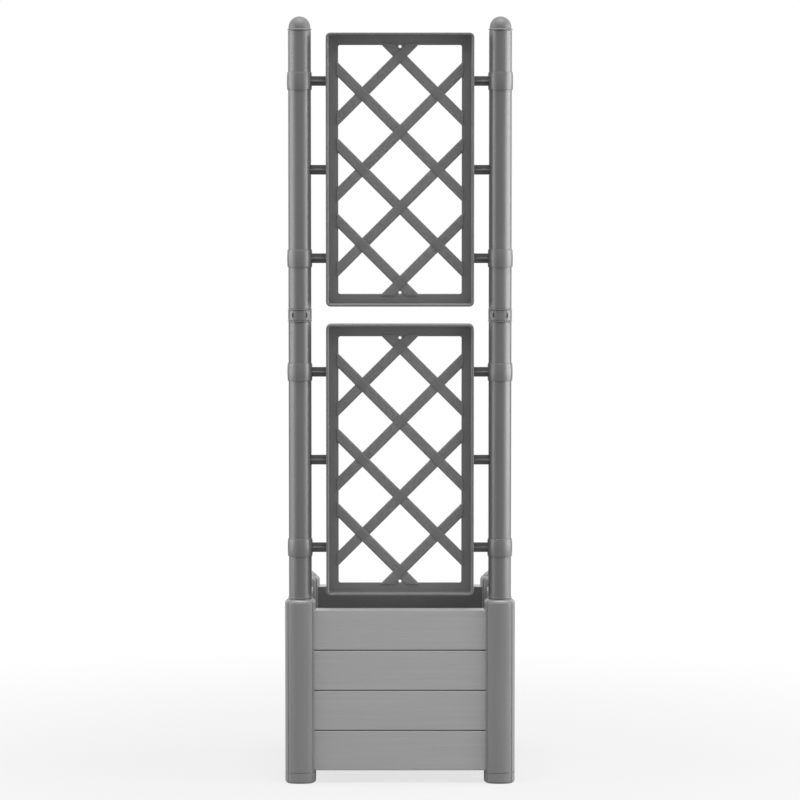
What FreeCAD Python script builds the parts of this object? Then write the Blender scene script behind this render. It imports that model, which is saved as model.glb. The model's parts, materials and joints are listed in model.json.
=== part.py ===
import FreeCAD, Part

import math
import os

import Sketcher
from FreeCAD import Placement, Rotation, Vector

# Square planter with four hollow corner columns, plank-look walls and a two-storey trellis that
# stands in the two front columns. Millimetres, +Z up, -Y is the trellis side.
# The origin is on the floor, under the middle of the planter.

SIZES = [
    ("column_spacing", 372.4, "centre to centre of neighbouring columns"),
    ("column_width", 57.6, "across the crowns of opposite column faces"),
    ("column_rise", 20.0, "column's top above the walls"),
    ("column_wall", 3.2, "thickness of the hollow column"),
    ("column_top", 6.0, "thickness of the column's closed top"),
    ("lobe_radius", 43.0, "radius of each crowned column face"),
    ("shoulder_radius", 8.0, "rounding at the top of a column"),
    ("groove_radius", 2.4, "groove along each column corner"),
    ("groove_place", 0.3, "how far out of the corner the groove's centre lies"),
    ("foot_height", 21.0, "floor to foot joint"),
    ("foot_rounding", 4.5, "rounding of the foot's lower edge"),
    ("foot_joint", 1.2, "height of the shadow joint between foot and column"),
    ("foot_joint_depth", 1.4, "depth of that joint"),
    ("foot_spigot", 17.0, "length of the foot's spigot inside the column"),
    ("foot_floor", 4.0, "thickness of the foot's sole"),
    ("foot_wall", 3.0, "thickness of the spigot"),
    ("socket_radius", 19.3, "round socket in the column's top"),
    ("socket_wall", 2.0, "thickness of the sleeve round the socket"),
    ("socket_depth", 18.0, "length of the socket"),
    ("socket_spare", 2.0, "from a spigot's end to the end of its socket"),
    ("fit", 0.3, "clearance round every spigot, tongue and seat"),
    ("wall_lift", 3.0, "wall's lower edge above the foot joint"),
    ("plank_height", 75.5, "one plank with its groove"),
    ("plank_count", 4, "planks in a wall"),
    ("wall_thickness", 33.0, "outer face to inner face"),
    ("wall_skin", 3.0, "thickness of the hollow wall's skins"),
    ("wall_rim", 4.0, "thickness of the wall's top rim"),
    ("wall_edge", 1.2, "bevel on the wall's outer edges"),
    ("groove_depth", 5.0, "depth of the groove between planks"),
    ("groove_height", 3.0, "height of that groove"),
    ("plank_bevel", 1.3, "bevel on the upper edge of a plank, below the groove"),
    ("rib_thickness", 2.4, "upright ribs inside the walls"),
    ("rib_count", 3, "upright ribs inside each wall"),
    ("tongue_neck", 8.0, "width of the neck of the wall's T tongue"),
    ("tongue_head", 16.0, "width of the head of the tongue"),
    ("tongue_depth", 3.0, "thickness of the head of the tongue"),
    ("tongue_play", 1.1, "gap between the column's inner face and the tongue's head"),
    ("floor_height", 48.0, "top of the floor panel above the ground"),
    ("floor_thickness", 4.0, "floor panel"),
    ("floor_notch", 12.5, "corner of the floor panel cut away for the column"),
    ("floor_rib", 10.0, "height of the ribs under the floor panel"),
    ("ledge_width", 8.0, "ledge inside each wall that carries the floor panel"),
    ("ledge_height", 6.0, "height of that ledge"),
    ("ledge_inset", 8.0, "end of the ledge inside the column's crown"),
    ("drain_radius", 5.0, "drain holes"),
    ("drain_spacing", 90.0, "between drain holes"),
    ("pole_radius", 21.25, "outside of the pole tubes"),
    ("pole_skin", 2.2, "thickness of the pole tubes"),
    ("tube_spare", 3.5, "tube's end beyond the end of its panel"),
    ("spigot_length", 24.0, "spigots that reach into the tubes"),
    ("spigot_wall", 2.4, "thickness of the spigots"),
    ("base_neck", 2.0, "narrow neck under the pole base's flange"),
    ("base_neck_radius", 20.4, "radius of that neck"),
    ("base_flange", 1.7, "flange under the tube"),
    ("flange_radius", 22.7, "radius of the flanges"),
    ("flange_bevel", 0.7, "bevel on the upper edge of flanges and rings"),
    ("band_height", 22.0, "connector between its flanges"),
    ("band_radius", 21.7, "radius of that band"),
    ("band_flange", 2.0, "thickness of the connector's flanges"),
    ("slot_width", 2.8, "latch slots in the connector"),
    ("slot_height", 11.0, "height of the latch slots"),
    ("slot_angle", 35.0, "latch slots either side of the front, in degrees"),
    ("slot_depth", 1.6, "depth of the latch slots"),
    ("collar_height", 33.3, "collar round the tube"),
    ("collar_radius", 23.4, "collar at its waist"),
    ("collar_end_radius", 22.6, "collar at its ends"),
    ("collar_gap", 0.15, "clearance between tube and collar"),
    ("cap_ring", 4.0, "ring under the dome"),
    ("cap_ring_radius", 22.4, "radius of that ring"),
    ("dome_radius", 20.1, "round dome of the pole cap"),
    ("dome_side", 2.2, "straight side of the dome"),
    ("plug_edge", 2.0, "straight edge of the rear plug"),
    ("plug_radius", 22.2, "radius of the rear plug"),
    ("plug_crown", 9.2, "height of the rear plug's crown"),
    ("panel_width", 275.0, "lattice panel"),
    ("panel_height", 507.0, "lattice panel"),
    ("panel_depth", 40.0, "depth of the panel's rim"),
    ("panel_corner", 9.0, "outer corner radius of the panel"),
    ("rim_thickness", 4.6, "rim of the panel"),
    ("rail_width", 23.0, "from the panel's outer edge to its opening"),
    ("web_thickness", 6.0, "plate inside the rim"),
    ("opening_corner", 3.5, "corner radius of the opening"),
    ("bar_width", 19.0, "lattice bars"),
    ("bar_thickness", 9.0, "lattice bars"),
    ("bar_rounding", 1.6, "rounded edges of the bars"),
    ("bar_overlap", 9.0, "how far the bars run over the rail"),
    ("end_crossing", 20.5, "from the opening's end to the nearest crossing"),
    ("lattice_steps", 3, "half diamonds from the panel's middle to that crossing"),
    ("gusset_width", 20.0, "filled corner between the bars that cross at the middle of a rail"),
    ("gusset_hole", 2.9, "radius of the hole in that corner"),
    ("gusset_hole_drop", 2.6, "from the opening's edge to the middle of that hole"),
    ("weave_depth", 1.2, "dip of the bar that passes under"),
    ("weave_reach", 21.5, "half the length of that dip"),
    ("peg_margin", 89.3, "from the panel's end to its last peg"),
    ("peg_size", 18.0, "cross-shaped pegs"),
    ("peg_rib", 3.0, "ribs of the pegs"),
    ("peg_bite", 8.0, "how far a peg reaches into the tube"),
    ("peg_fit", 0.4, "clearance round a peg"),
]

CUT_MARGIN = 2.0    # cutting tools run this far past the solid

doc = FreeCAD.newDocument("planter_with_trellis")
sheet = doc.addObject("Spreadsheet::Sheet", "Sizes")
for row, (alias, number, meaning) in enumerate(SIZES, 1):
    sheet.set("A%d" % row, alias)
    sheet.set("B%d" % row, str(number))
    sheet.set("C%d" % row, meaning)
    sheet.setAlias("B%d" % row, alias)
doc.recompute()


class Size:
    """A number together with the spreadsheet formula that gives it."""

    def __init__(self, value, formula):
        self.value = value
        self.formula = formula

    def join(self, sign, other, value):
        return Size(value, "(%s %s %s)" % (self.formula, sign, other.formula))

    def __add__(self, other):
        other = as_size(other)
        return self.join("+", other, self.value + other.value)

    def __sub__(self, other):
        other = as_size(other)
        return self.join("-", other, self.value - other.value)

    def __mul__(self, other):
        other = as_size(other)
        return self.join("*", other, self.value * other.value)

    def __truediv__(self, other):
        other = as_size(other)
        return self.join("/", other, self.value / other.value)

    def __radd__(self, other):
        return as_size(other) + self

    def __rsub__(self, other):
        return as_size(other) - self

    def __rmul__(self, other):
        return as_size(other) * self

    def __neg__(self):
        return Size(-self.value, "(-%s)" % self.formula)


def as_size(number):
    """A bare number counts as a size whose formula is that number."""
    if isinstance(number, Size):
        return number
    return Size(float(number), repr(float(number)))


def root(size):
    """Square root of a size."""
    return Size(math.sqrt(size.value), "sqrt(%s)" % size.formula)


class Sheet:
    """The sizes by name, such as mm.column_width."""


mm = Sheet()
for alias, number, meaning in SIZES:
    setattr(mm, alias, Size(float(sheet.get(alias)), "Sizes." + alias))

# Lengths, levels and places that follow from the sizes.
wall_bottom_z = mm.foot_height + mm.wall_lift
wall_height = mm.plank_height * mm.plank_count
column_length = mm.wall_lift + wall_height + mm.column_rise
column_top_z = mm.foot_height + column_length
tube_length = mm.panel_height + 2 * mm.tube_spare
peg_spacing = mm.panel_height / 2 - mm.peg_margin
opening_width = mm.panel_width - 2 * mm.rail_width
opening_height = mm.panel_height - 2 * mm.rail_width
lattice_step = (opening_height / 2 - mm.end_crossing) / mm.lattice_steps
lower_tube_z = column_top_z + mm.base_neck + mm.base_flange
connector_z = lower_tube_z + tube_length
connector_height = mm.band_height + 2 * mm.band_flange
upper_tube_z = connector_z + connector_height
cap_z = upper_tube_z + tube_length
half_spacing = mm.column_spacing / 2
column_half = mm.column_width / 2
spigot_radius = mm.pole_radius - mm.pole_skin - mm.fit
lobe_offset = mm.lobe_radius - column_half
lobe_corner = (root(2 * mm.lobe_radius * mm.lobe_radius - lobe_offset * lobe_offset) - lobe_offset) / 2
groove_centre = lobe_corner + mm.groove_place

finished = []


def bind(thing, **sizes):
    """Tie properties of an object to the sheet."""
    for name, size in sizes.items():
        thing.setExpression(name, as_size(size).formula)
    return thing


def place(thing, x=0, y=0, z=0, turn=0):
    """Stand an object at x, y, z, turned about +Z by a number of degrees."""
    thing.Placement = Placement(Vector(), Rotation(Vector(0, 0, 1), turn))
    for axis, size in (("x", x), ("y", y), ("z", z)):
        if isinstance(size, Size) or size:
            thing.setExpression("Placement.Base." + axis, as_size(size).formula)
    return thing


def block(name, x, y, z, length, width, height):
    """Box centred on x and y that rises from z."""
    box = doc.addObject("Part::Box", name)
    bind(box, Length=length, Width=width, Height=height)
    return place(box, x - as_size(length) / 2, y - as_size(width) / 2, as_size(z))


def rod(name, x, y, z, radius, height):
    """Upright cylinder that rises from z."""
    return place(bind(doc.addObject("Part::Cylinder", name), Radius=radius, Height=height), x, y, z)


def fuse(name, things):
    joined = doc.addObject("Part::MultiFuse", name)
    joined.Shapes = list(things)
    joined.Refine = True
    return joined


def common(name, things):
    shared = doc.addObject("Part::MultiCommon", name)
    shared.Shapes = list(things)
    return shared


def cut(name, base, tools):
    """Base without its tools."""
    tool = tools[0] if len(tools) == 1 else fuse(name + "_tools", tools)
    rest = doc.addObject("Part::Cut", name)
    rest.Base = base
    rest.Tool = tool
    rest.Refine = True
    return rest


def finish(thing, label):
    """Give a finished sub-part its own label."""
    thing.Label = label
    finished.append(thing)
    return thing


def new_sketch(body, name, plane):
    """Empty sketch on one of the body's own origin planes."""
    sketch = body.newObject("Sketcher::SketchObject", name)
    support = [item for item in body.Origin.OriginFeatures if item.Role == plane][0]
    sketch.AttachmentSupport = [(support, "")]
    sketch.MapMode = "FlatFace"
    return sketch


def pin_point(sketch, edge, point, corner):
    """Hold a sketch point at its corner, with the distances tied to the sheet."""
    for kind, axis, size in (("DistanceX", -2, corner[0]), ("DistanceY", -1, corner[1])):
        size = as_size(size)
        if abs(size.value) < 1e-9:
            sketch.addConstraint(Sketcher.Constraint("PointOnObject", edge, point, axis))
            continue
        index = sketch.addConstraint(Sketcher.Constraint(kind, -1, 1, edge, point, size.value))
        sketch.setExpression("Constraints[%d]" % index, size.formula)


def outline(sketch, corners):
    """Close a loop. A corner is (x, y) for a straight edge to the next corner, or
    (x, y, radius, through) for an arc of that radius that passes near the point through."""
    points = [Vector(as_size(c[0]).value, as_size(c[1]).value, 0) for c in corners]
    starts = []
    for index, corner in enumerate(corners):
        start = points[index]
        end = points[(index + 1) % len(points)]
        if len(corner) == 2:
            edge = sketch.addGeometry(Part.LineSegment(start, end))
        else:
            edge = sketch.addGeometry(Part.Arc(start, Vector(*corner[3], 0), end))
            radius = sketch.addConstraint(Sketcher.Constraint("Radius", edge, corner[2].value))
            sketch.setExpression("Constraints[%d]" % radius, corner[2].formula)
        starts.append(1 if sketch.getPoint(edge, 1).distanceToPoint(start) < 1e-6 else 2)
        pin_point(sketch, edge, starts[edge], corner)
    for edge, start in enumerate(starts):
        follower = (edge + 1) % len(starts)
        sketch.addConstraint(Sketcher.Constraint("Coincident", edge, 3 - start, follower, starts[follower]))


def turned(name, corners):
    """Body of revolution about Z from a profile in radius and height."""
    body = doc.addObject("PartDesign::Body", name)
    sketch = new_sketch(body, name + "_profile", "XZ_Plane")
    outline(sketch, corners)
    feature = body.newObject("PartDesign::Revolution", name + "_turn")
    feature.Profile = sketch
    feature.ReferenceAxis = (sketch, ["V_Axis"])
    feature.Angle = 360
    return body


def extruded(name, plane, corners, length):
    """Body padded evenly to both sides of its profile's plane."""
    body = doc.addObject("PartDesign::Body", name)
    sketch = new_sketch(body, name + "_profile", plane)
    outline(sketch, corners)
    feature = body.newObject("PartDesign::Pad", name + "_pad")
    feature.Profile = sketch
    feature.SideType = "Symmetric"
    bind(feature, Length=length)
    return body


def round_edges(body, name, radius, chosen):
    """Fillet the edges of a body's tip that the test chooses."""
    doc.recompute()
    base = body.Tip
    edges = ["Edge%d" % (i + 1) for i, edge in enumerate(base.Shape.Edges) if chosen(edge)]
    fillet = body.newObject("PartDesign::Fillet", name)
    fillet.Base = (base, edges)
    bind(fillet, Radius=radius)
    return fillet


def slab(name, width, height, depth, corner):
    """Upright plate in the XZ plane, centred on the origin, with rounded corners."""
    half_w = width / 2
    half_h = height / 2
    body = extruded(name, "XZ_Plane", [(-half_w, -half_h), (half_w, -half_h), (half_w, half_h), (-half_w, half_h)],
                    depth)
    round_edges(body, name + "_corners", corner,
                lambda edge: abs(edge.tangentAt(edge.FirstParameter).y) > 0.99)
    return body


def lobed(name, inset, height, z=0, top=None, bottom=None):
    """Prism with four crowned faces: the common of four upright bars, each of which forms one
    face. The inset makes the prism smaller all round. Top and bottom round its rims."""
    bars = []
    radius = mm.lobe_radius - inset
    for index, (side_x, side_y) in enumerate(((1, 0), (0, 1), (-1, 0), (0, -1))):
        bar = doc.addObject("PartDesign::Body", "%s_bar_%d" % (name, index))
        core = bar.newObject("PartDesign::AdditiveCylinder", "%s_core_%d" % (name, index))
        bind(core, Radius=radius, Height=height)
        for level, rounding in ((height, top), (as_size(0), bottom)):
            if rounding is not None:
                round_edges(bar, "%s_round_%d" % (name, index), rounding,
                            lambda edge, level=level.value: is_rim(edge, level))
        bars.append(place(bar, -side_x * lobe_offset, -side_y * lobe_offset, z))
    return common(name, bars)


def is_rim(edge, level):
    """True for a full circle that lies flat at a level."""
    box = edge.BoundBox
    return box.ZLength < 1e-6 and abs(box.ZMin - level) < 1e-6


def corner_grooves(name, z, height):
    """Four grooves along the corners of a lobed prism."""
    grooves = []
    for index, (side_x, side_y) in enumerate(((1, 1), (-1, 1), (-1, -1), (1, -1))):
        grooves.append(rod("%s_groove_%d" % (name, index), side_x * groove_centre, side_y * groove_centre,
                           z, mm.groove_radius, height))
    return grooves


# ---- corner columns ----

def corner_column(label, side_x, side_y, turn):
    """Hollow column. Its walls slide into the slots in its local +X and +Y faces from below."""
    outside = lobed(label + "_outside", as_size(0), column_length, top=mm.shoulder_radius)
    hollow = lobed(label + "_hollow", mm.column_wall, column_length - mm.column_top + CUT_MARGIN,
                   z=as_size(-CUT_MARGIN))
    sleeve = rod(label + "_sleeve", 0, 0, column_length - mm.socket_depth,
                 mm.socket_radius + mm.socket_wall, mm.socket_depth - mm.column_top / 2)
    shell = fuse(label + "_shell", [cut(label + "_tube", outside, [hollow]), sleeve])
    bore = rod(label + "_bore", 0, 0, column_length - mm.socket_depth - CUT_MARGIN,
               mm.socket_radius, mm.socket_depth + 2 * CUT_MARGIN)
    slot_top = mm.wall_lift + wall_height + mm.fit
    slot_width = mm.tongue_neck + 2 * mm.fit
    slots = [
        block(label + "_slot_x", column_half, 0, -CUT_MARGIN, column_half, slot_width, slot_top + CUT_MARGIN),
        block(label + "_slot_y", 0, column_half, -CUT_MARGIN, slot_width, column_half, slot_top + CUT_MARGIN),
    ]
    grooves = corner_grooves(label, as_size(-CUT_MARGIN), column_length + 2 * CUT_MARGIN)
    column = cut(label, shell, [bore] + slots + grooves)
    place(column, side_x * half_spacing, side_y * half_spacing, mm.foot_height, turn)
    return finish(column, label)


def foot(label, side_x, side_y):
    """Foot with a hollow spigot that plugs into the column."""
    spigot_inset = mm.column_wall + mm.fit
    outside = lobed(label + "_outside", as_size(0), mm.foot_height - mm.foot_joint, bottom=mm.foot_rounding)
    joint = lobed(label + "_joint", mm.foot_joint_depth, 2 * mm.foot_joint, z=mm.foot_height - 2 * mm.foot_joint)
    spigot = lobed(label + "_spigot", spigot_inset, mm.foot_height - mm.foot_floor + mm.foot_spigot,
                   z=mm.foot_floor)
    hollow = lobed(label + "_hollow", spigot_inset + mm.foot_wall, mm.foot_height + mm.foot_spigot,
                   z=mm.foot_floor)
    grooved = cut(label + "_grooved", fuse(label + "_stepped", [outside, joint]),
                  corner_grooves(label, as_size(-CUT_MARGIN), mm.foot_height + 2 * CUT_MARGIN))
    shell = cut(label, fuse(label + "_solid", [grooved, spigot]), [hollow])
    place(shell, side_x * half_spacing, side_y * half_spacing)
    return finish(shell, label)


# ---- walls and floor ----

def wall_profile():
    """Outline of a wall in depth and height: a plain inner face, and an outer face at -Y with a
    groove below each plank but the lowest."""
    outer = -mm.wall_thickness / 2
    inner = mm.wall_thickness / 2
    edge = mm.wall_edge
    corners = [(outer + edge, as_size(0)), (inner - edge, as_size(0)), (inner, edge),
               (inner, wall_height - edge), (inner - edge, wall_height), (outer + edge, wall_height),
               (outer, wall_height - edge)]
    for joint in range(int(mm.plank_count.value) - 1, 0, -1):
        level = mm.plank_height * joint
        corners += [(outer, level + mm.groove_height / 2),
                    (outer + mm.groove_depth, level + mm.groove_height / 2),
                    (outer + mm.groove_depth, level - mm.groove_height / 2),
                    (outer + mm.plank_bevel, level - mm.groove_height / 2),
                    (outer, level - mm.groove_height / 2 - mm.plank_bevel)]
    corners.append((outer, edge))
    return corners


def wall(label, centre_x, centre_y, turn):
    """Hollow plank-look wall, open underneath, between two columns."""
    span = mm.column_spacing - column_half
    slab_body = extruded(label + "_slab", "YZ_Plane", wall_profile(), span)
    end_tools = []
    for side, name in ((-1, "left"), (1, "right")):
        end_tools.append(rod("%s_%s_end" % (label, name), side * (half_spacing + lobe_offset), 0,
                             as_size(-CUT_MARGIN), mm.lobe_radius + mm.fit, wall_height + 2 * CUT_MARGIN))
    cell_count = int(mm.rib_count.value) + 1
    cells_span = mm.column_spacing - mm.column_width - 2 * mm.wall_skin
    cell = (cells_span - mm.rib_thickness * (cell_count - 1)) / cell_count
    cells = []
    for index in range(cell_count):
        cells.append(block("%s_cell_%d" % (label, index),
                           (cell + mm.rib_thickness) * (index - (cell_count - 1) / 2), mm.groove_depth / 2,
                           -CUT_MARGIN, cell, mm.wall_thickness - 2 * mm.wall_skin - mm.groove_depth,
                           wall_height - mm.wall_rim + CUT_MARGIN))
    shell = cut(label + "_shell", slab_body, end_tools + cells)
    pieces = [shell]
    tongue_low = mm.foot_spigot - mm.wall_lift + mm.fit
    crown = half_spacing - column_half
    neck = mm.column_wall + mm.tongue_play + mm.wall_skin
    for side, name in ((-1, "left"), (1, "right")):
        pieces.append(block("%s_%s_neck" % (label, name), side * (crown - mm.wall_skin + neck / 2), 0,
                            tongue_low, neck, mm.tongue_neck, wall_height - tongue_low))
        pieces.append(block("%s_%s_head" % (label, name),
                            side * (crown + mm.column_wall + mm.tongue_play + mm.tongue_depth / 2), 0,
                            tongue_low, mm.tongue_depth, mm.tongue_head, wall_height - tongue_low))
    ledge_low = mm.floor_height - mm.floor_thickness - mm.ledge_height - wall_bottom_z
    ledge_length = mm.column_spacing - mm.column_width - 2 * mm.ledge_inset
    pieces.append(block(label + "_ledge", 0, mm.wall_thickness / 2 + mm.ledge_width / 2 - mm.wall_skin / 2,
                        ledge_low, ledge_length, mm.ledge_width + mm.wall_skin, mm.ledge_height))
    body = fuse(label, pieces)
    place(body, centre_x, centre_y, wall_bottom_z, turn)
    return finish(body, label)


def floor_panel():
    """Floor with drain holes and ribs underneath, notched round the columns."""
    side = mm.column_spacing - mm.wall_thickness - 2 * mm.fit
    under = mm.floor_height - mm.floor_thickness
    plate = block("floor_plate", 0, 0, under, side, side, mm.floor_thickness)
    rib_length = side - 2 * mm.ledge_width - 2 * mm.fit
    ribs = []
    for index, step in enumerate((-0.5, 0.5)):
        ribs.append(block("floor_rib_x_%d" % index, 0, step * mm.drain_spacing, under - mm.floor_rib,
                          rib_length, mm.rib_thickness, mm.floor_rib + mm.floor_thickness / 2))
        ribs.append(block("floor_rib_y_%d" % index, step * mm.drain_spacing, 0, under - mm.floor_rib,
                          mm.rib_thickness, rib_length, mm.floor_rib + mm.floor_thickness / 2))
    tools = []
    for side_x in (-1, 1):
        for side_y in (-1, 1):
            tools.append(block("floor_notch_%d%d" % (side_x + 1, side_y + 1), side_x * side / 2, side_y * side / 2,
                               under - CUT_MARGIN, 2 * mm.floor_notch, 2 * mm.floor_notch,
                               mm.floor_thickness + 2 * CUT_MARGIN))
    for across in (-1, 0, 1):
        for along in (-1, 0, 1):
            tools.append(rod("floor_drain_%d%d" % (across + 1, along + 1), across * mm.drain_spacing,
                             along * mm.drain_spacing, under - CUT_MARGIN, mm.drain_radius,
                             mm.floor_thickness + 2 * CUT_MARGIN))
    return finish(cut("floor_panel", fuse("floor_ribbed", [plate] + ribs), tools), "floor_panel")


# ---- turned pieces of the poles ----

def rear_plug(label, side_x):
    """Domed plug in a rear column's socket."""
    shank = mm.socket_radius - mm.fit
    shank_low = -(mm.socket_depth - mm.socket_spare)
    crown_radius = (mm.plug_radius * mm.plug_radius + mm.plug_crown * mm.plug_crown) / (2 * mm.plug_crown)
    top = mm.plug_edge + mm.plug_crown
    inner = shank - mm.spigot_wall
    halfway = mm.plug_radius.value / 2
    lift = math.sqrt(crown_radius.value ** 2 - halfway ** 2) - crown_radius.value
    body = turned(label, [
        (inner, shank_low), (shank, shank_low), (shank, 0), (mm.plug_radius, 0),
        (mm.plug_radius, mm.plug_edge, crown_radius, (halfway, top.value + lift)),
        (0, top), (0, mm.plug_edge), (inner, mm.plug_edge)])
    place(body, side_x * half_spacing, half_spacing, column_top_z)
    return finish(body, label)


def pole_base(label, side_x):
    """Flanged double spigot: the lower one stands in the column, the upper one in the tube."""
    shank = mm.socket_radius - mm.fit
    shank_low = -(mm.socket_depth - mm.socket_spare)
    flange_low = mm.base_neck
    flange_top = mm.base_neck + mm.base_flange
    inner = shank - mm.spigot_wall
    body = turned(label, [
        (inner, shank_low), (shank, shank_low), (shank, 0),
        (mm.base_neck_radius, 0), (mm.base_neck_radius, flange_low), (mm.flange_radius, flange_low),
        (mm.flange_radius, flange_top - mm.flange_bevel), (mm.flange_radius - mm.flange_bevel, flange_top),
        (spigot_radius, flange_top), (spigot_radius, flange_top + mm.spigot_length),
        (inner, flange_top + mm.spigot_length)])
    place(body, side_x * half_spacing, -half_spacing, column_top_z)
    return finish(body, label)


def pole_tube(label, side_x, level):
    """Tube with three windows on the panel's side, for the panel's pegs."""
    outside = rod(label + "_outside", 0, 0, 0, mm.pole_radius, tube_length)
    inside = rod(label + "_inside", 0, 0, -CUT_MARGIN, mm.pole_radius - mm.pole_skin,
                 tube_length + 2 * CUT_MARGIN)
    window = mm.peg_size + 2 * mm.peg_fit
    windows = []
    for step in (-1, 0, 1):
        windows.append(block("%s_window_%d" % (label, step + 1), -side_x * mm.pole_radius, 0,
                             tube_length / 2 + step * peg_spacing - window / 2,
                             mm.pole_radius, window, window))
    tube = cut(label, outside, [inside] + windows)
    place(tube, side_x * half_spacing, -half_spacing, level)
    return finish(tube, label)


def collar(label, side_x, level):
    """Barrel-shaped ring round the tube, with a window for one peg."""
    half = mm.collar_height / 2
    bulge = mm.collar_radius - mm.collar_end_radius
    barrel = (half * half + bulge * bulge) / (2 * bulge)
    inner = mm.pole_radius + mm.collar_gap
    ring = turned(label + "_ring", [
        (inner, -half), (mm.collar_end_radius, -half, barrel, (mm.collar_radius.value, 0)),
        (mm.collar_end_radius, half), (inner, half)])
    window = mm.peg_size + 2 * mm.peg_fit
    opening = block(label + "_window", -side_x * mm.pole_radius, 0, -window / 2, mm.pole_radius, window, window)
    body = cut(label, ring, [opening])
    place(body, side_x * half_spacing, -half_spacing, level)
    return finish(body, label)


def connector(label, side_x):
    """Flanged band with a spigot up and a spigot down, and two latch slots in front."""
    inner = spigot_radius - mm.spigot_wall
    low_flange = mm.band_flange
    high_flange = mm.band_flange + mm.band_height
    top = connector_height
    ring = turned(label + "_ring", [
        (inner, -mm.spigot_length), (spigot_radius, -mm.spigot_length), (spigot_radius, 0),
        (mm.flange_radius, 0), (mm.flange_radius, low_flange - mm.flange_bevel),
        (mm.flange_radius - mm.flange_bevel, low_flange), (mm.band_radius, low_flange),
        (mm.band_radius, high_flange), (mm.flange_radius, high_flange),
        (mm.flange_radius, top - mm.flange_bevel), (mm.flange_radius - mm.flange_bevel, top),
        (spigot_radius, top), (spigot_radius, top + mm.spigot_length), (inner, top + mm.spigot_length)])
    slots = []
    reach = mm.band_radius + mm.slot_depth
    for side, name in ((-1, "left"), (1, "right")):
        slot = doc.addObject("Part::Box", "%s_%s_slot" % (label, name))
        bind(slot, Length=mm.slot_width, Width=2 * mm.slot_depth, Height=mm.slot_height)
        turn = side * mm.slot_angle.value
        sine = math.sin(math.radians(turn))
        cosine = math.cos(math.radians(turn))
        slots.append(place(slot, sine * reach - cosine * mm.slot_width / 2,
                           -cosine * reach - sine * mm.slot_width / 2,
                           (connector_height - mm.slot_height) / 2, turn))
    body = cut(label, ring, slots)
    place(body, side_x * half_spacing, -half_spacing, connector_z)
    return finish(body, label)


def pole_cap(label, side_x):
    """Ring and dome on the upper tube, with a hollow spigot inside the tube."""
    inner = spigot_radius - mm.spigot_wall
    centre = mm.cap_ring + mm.dome_side
    slant = math.sqrt(0.5) * mm.dome_radius.value
    body = turned(label, [
        (inner, -mm.spigot_length), (spigot_radius, -mm.spigot_length), (spigot_radius, 0),
        (mm.cap_ring_radius, 0), (mm.cap_ring_radius, mm.cap_ring - mm.flange_bevel),
        (mm.cap_ring_radius - mm.flange_bevel, mm.cap_ring), (mm.dome_radius, mm.cap_ring),
        (mm.dome_radius, centre, mm.dome_radius, (slant, centre.value + slant)),
        (0, centre + mm.dome_radius), (0, mm.cap_ring), (inner, mm.cap_ring)])
    place(body, side_x * half_spacing, -half_spacing, cap_z)
    return finish(body, label)


# ---- lattice panels ----

def crossings():
    """Places where two lattice bars cross, as multiples of the lattice step, with the
    direction of the bar that lies in front."""
    places = []
    for across in (-1, 0, 1):
        for up in range(-3, 4):
            if (across + up) % 2:
                places.append((across, up, -1 if across else 1))
    return places


def lattice_bars(label, slope):
    """The four bars that rise (slope 1) or fall (slope -1) to the right, each with a shallow
    dip where it passes under another, in front or behind."""
    reach = mm.panel_height + mm.panel_width
    half_w = mm.bar_width / 2
    half_t = mm.bar_thickness / 2
    bars = []
    for index, step in enumerate((-3, -1, 1, 3)):
        bar = extruded("%s_bar_%d" % (label, index), "XY_Plane",
                       [(-half_w, -half_t), (half_w, -half_t), (half_w, half_t), (-half_w, half_t)], reach)
        round_edges(bar, "%s_soften_%d" % (label, index), mm.bar_rounding,
                    lambda edge: abs(edge.tangentAt(edge.FirstParameter).z) > 0.99)
        bar.Placement = Placement(Vector(), Rotation(Vector(0, 1, 0), 45 * slope))
        bind(bar, **{"Placement.Base.z": step * lattice_step})
        bars.append(bar)
    dip_radius = (mm.weave_reach * mm.weave_reach + mm.weave_depth * mm.weave_depth) / (2 * mm.weave_depth)
    dip_centre = half_t + dip_radius - mm.weave_depth
    dips = []
    for index, (across, up, in_front) in enumerate(crossings()):
        dip = doc.addObject("Part::Cylinder", "%s_dip_%d" % (label, index))
        bind(dip, Radius=dip_radius, Height=mm.bar_width * 2)
        side = 1 if in_front == slope else -1
        turn = Rotation(Vector(0, 1, 0), -45 * slope)
        dip.Placement = Placement(Vector(), turn)
        start = -mm.bar_width * math.sqrt(0.5)
        bind(dip, **{"Placement.Base.x": across * lattice_step - slope * start,
                     "Placement.Base.y": side * dip_centre,
                     "Placement.Base.z": up * lattice_step + start})
        dips.append(dip)
    return cut(label, fuse(label + "_bars", bars), dips)


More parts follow.
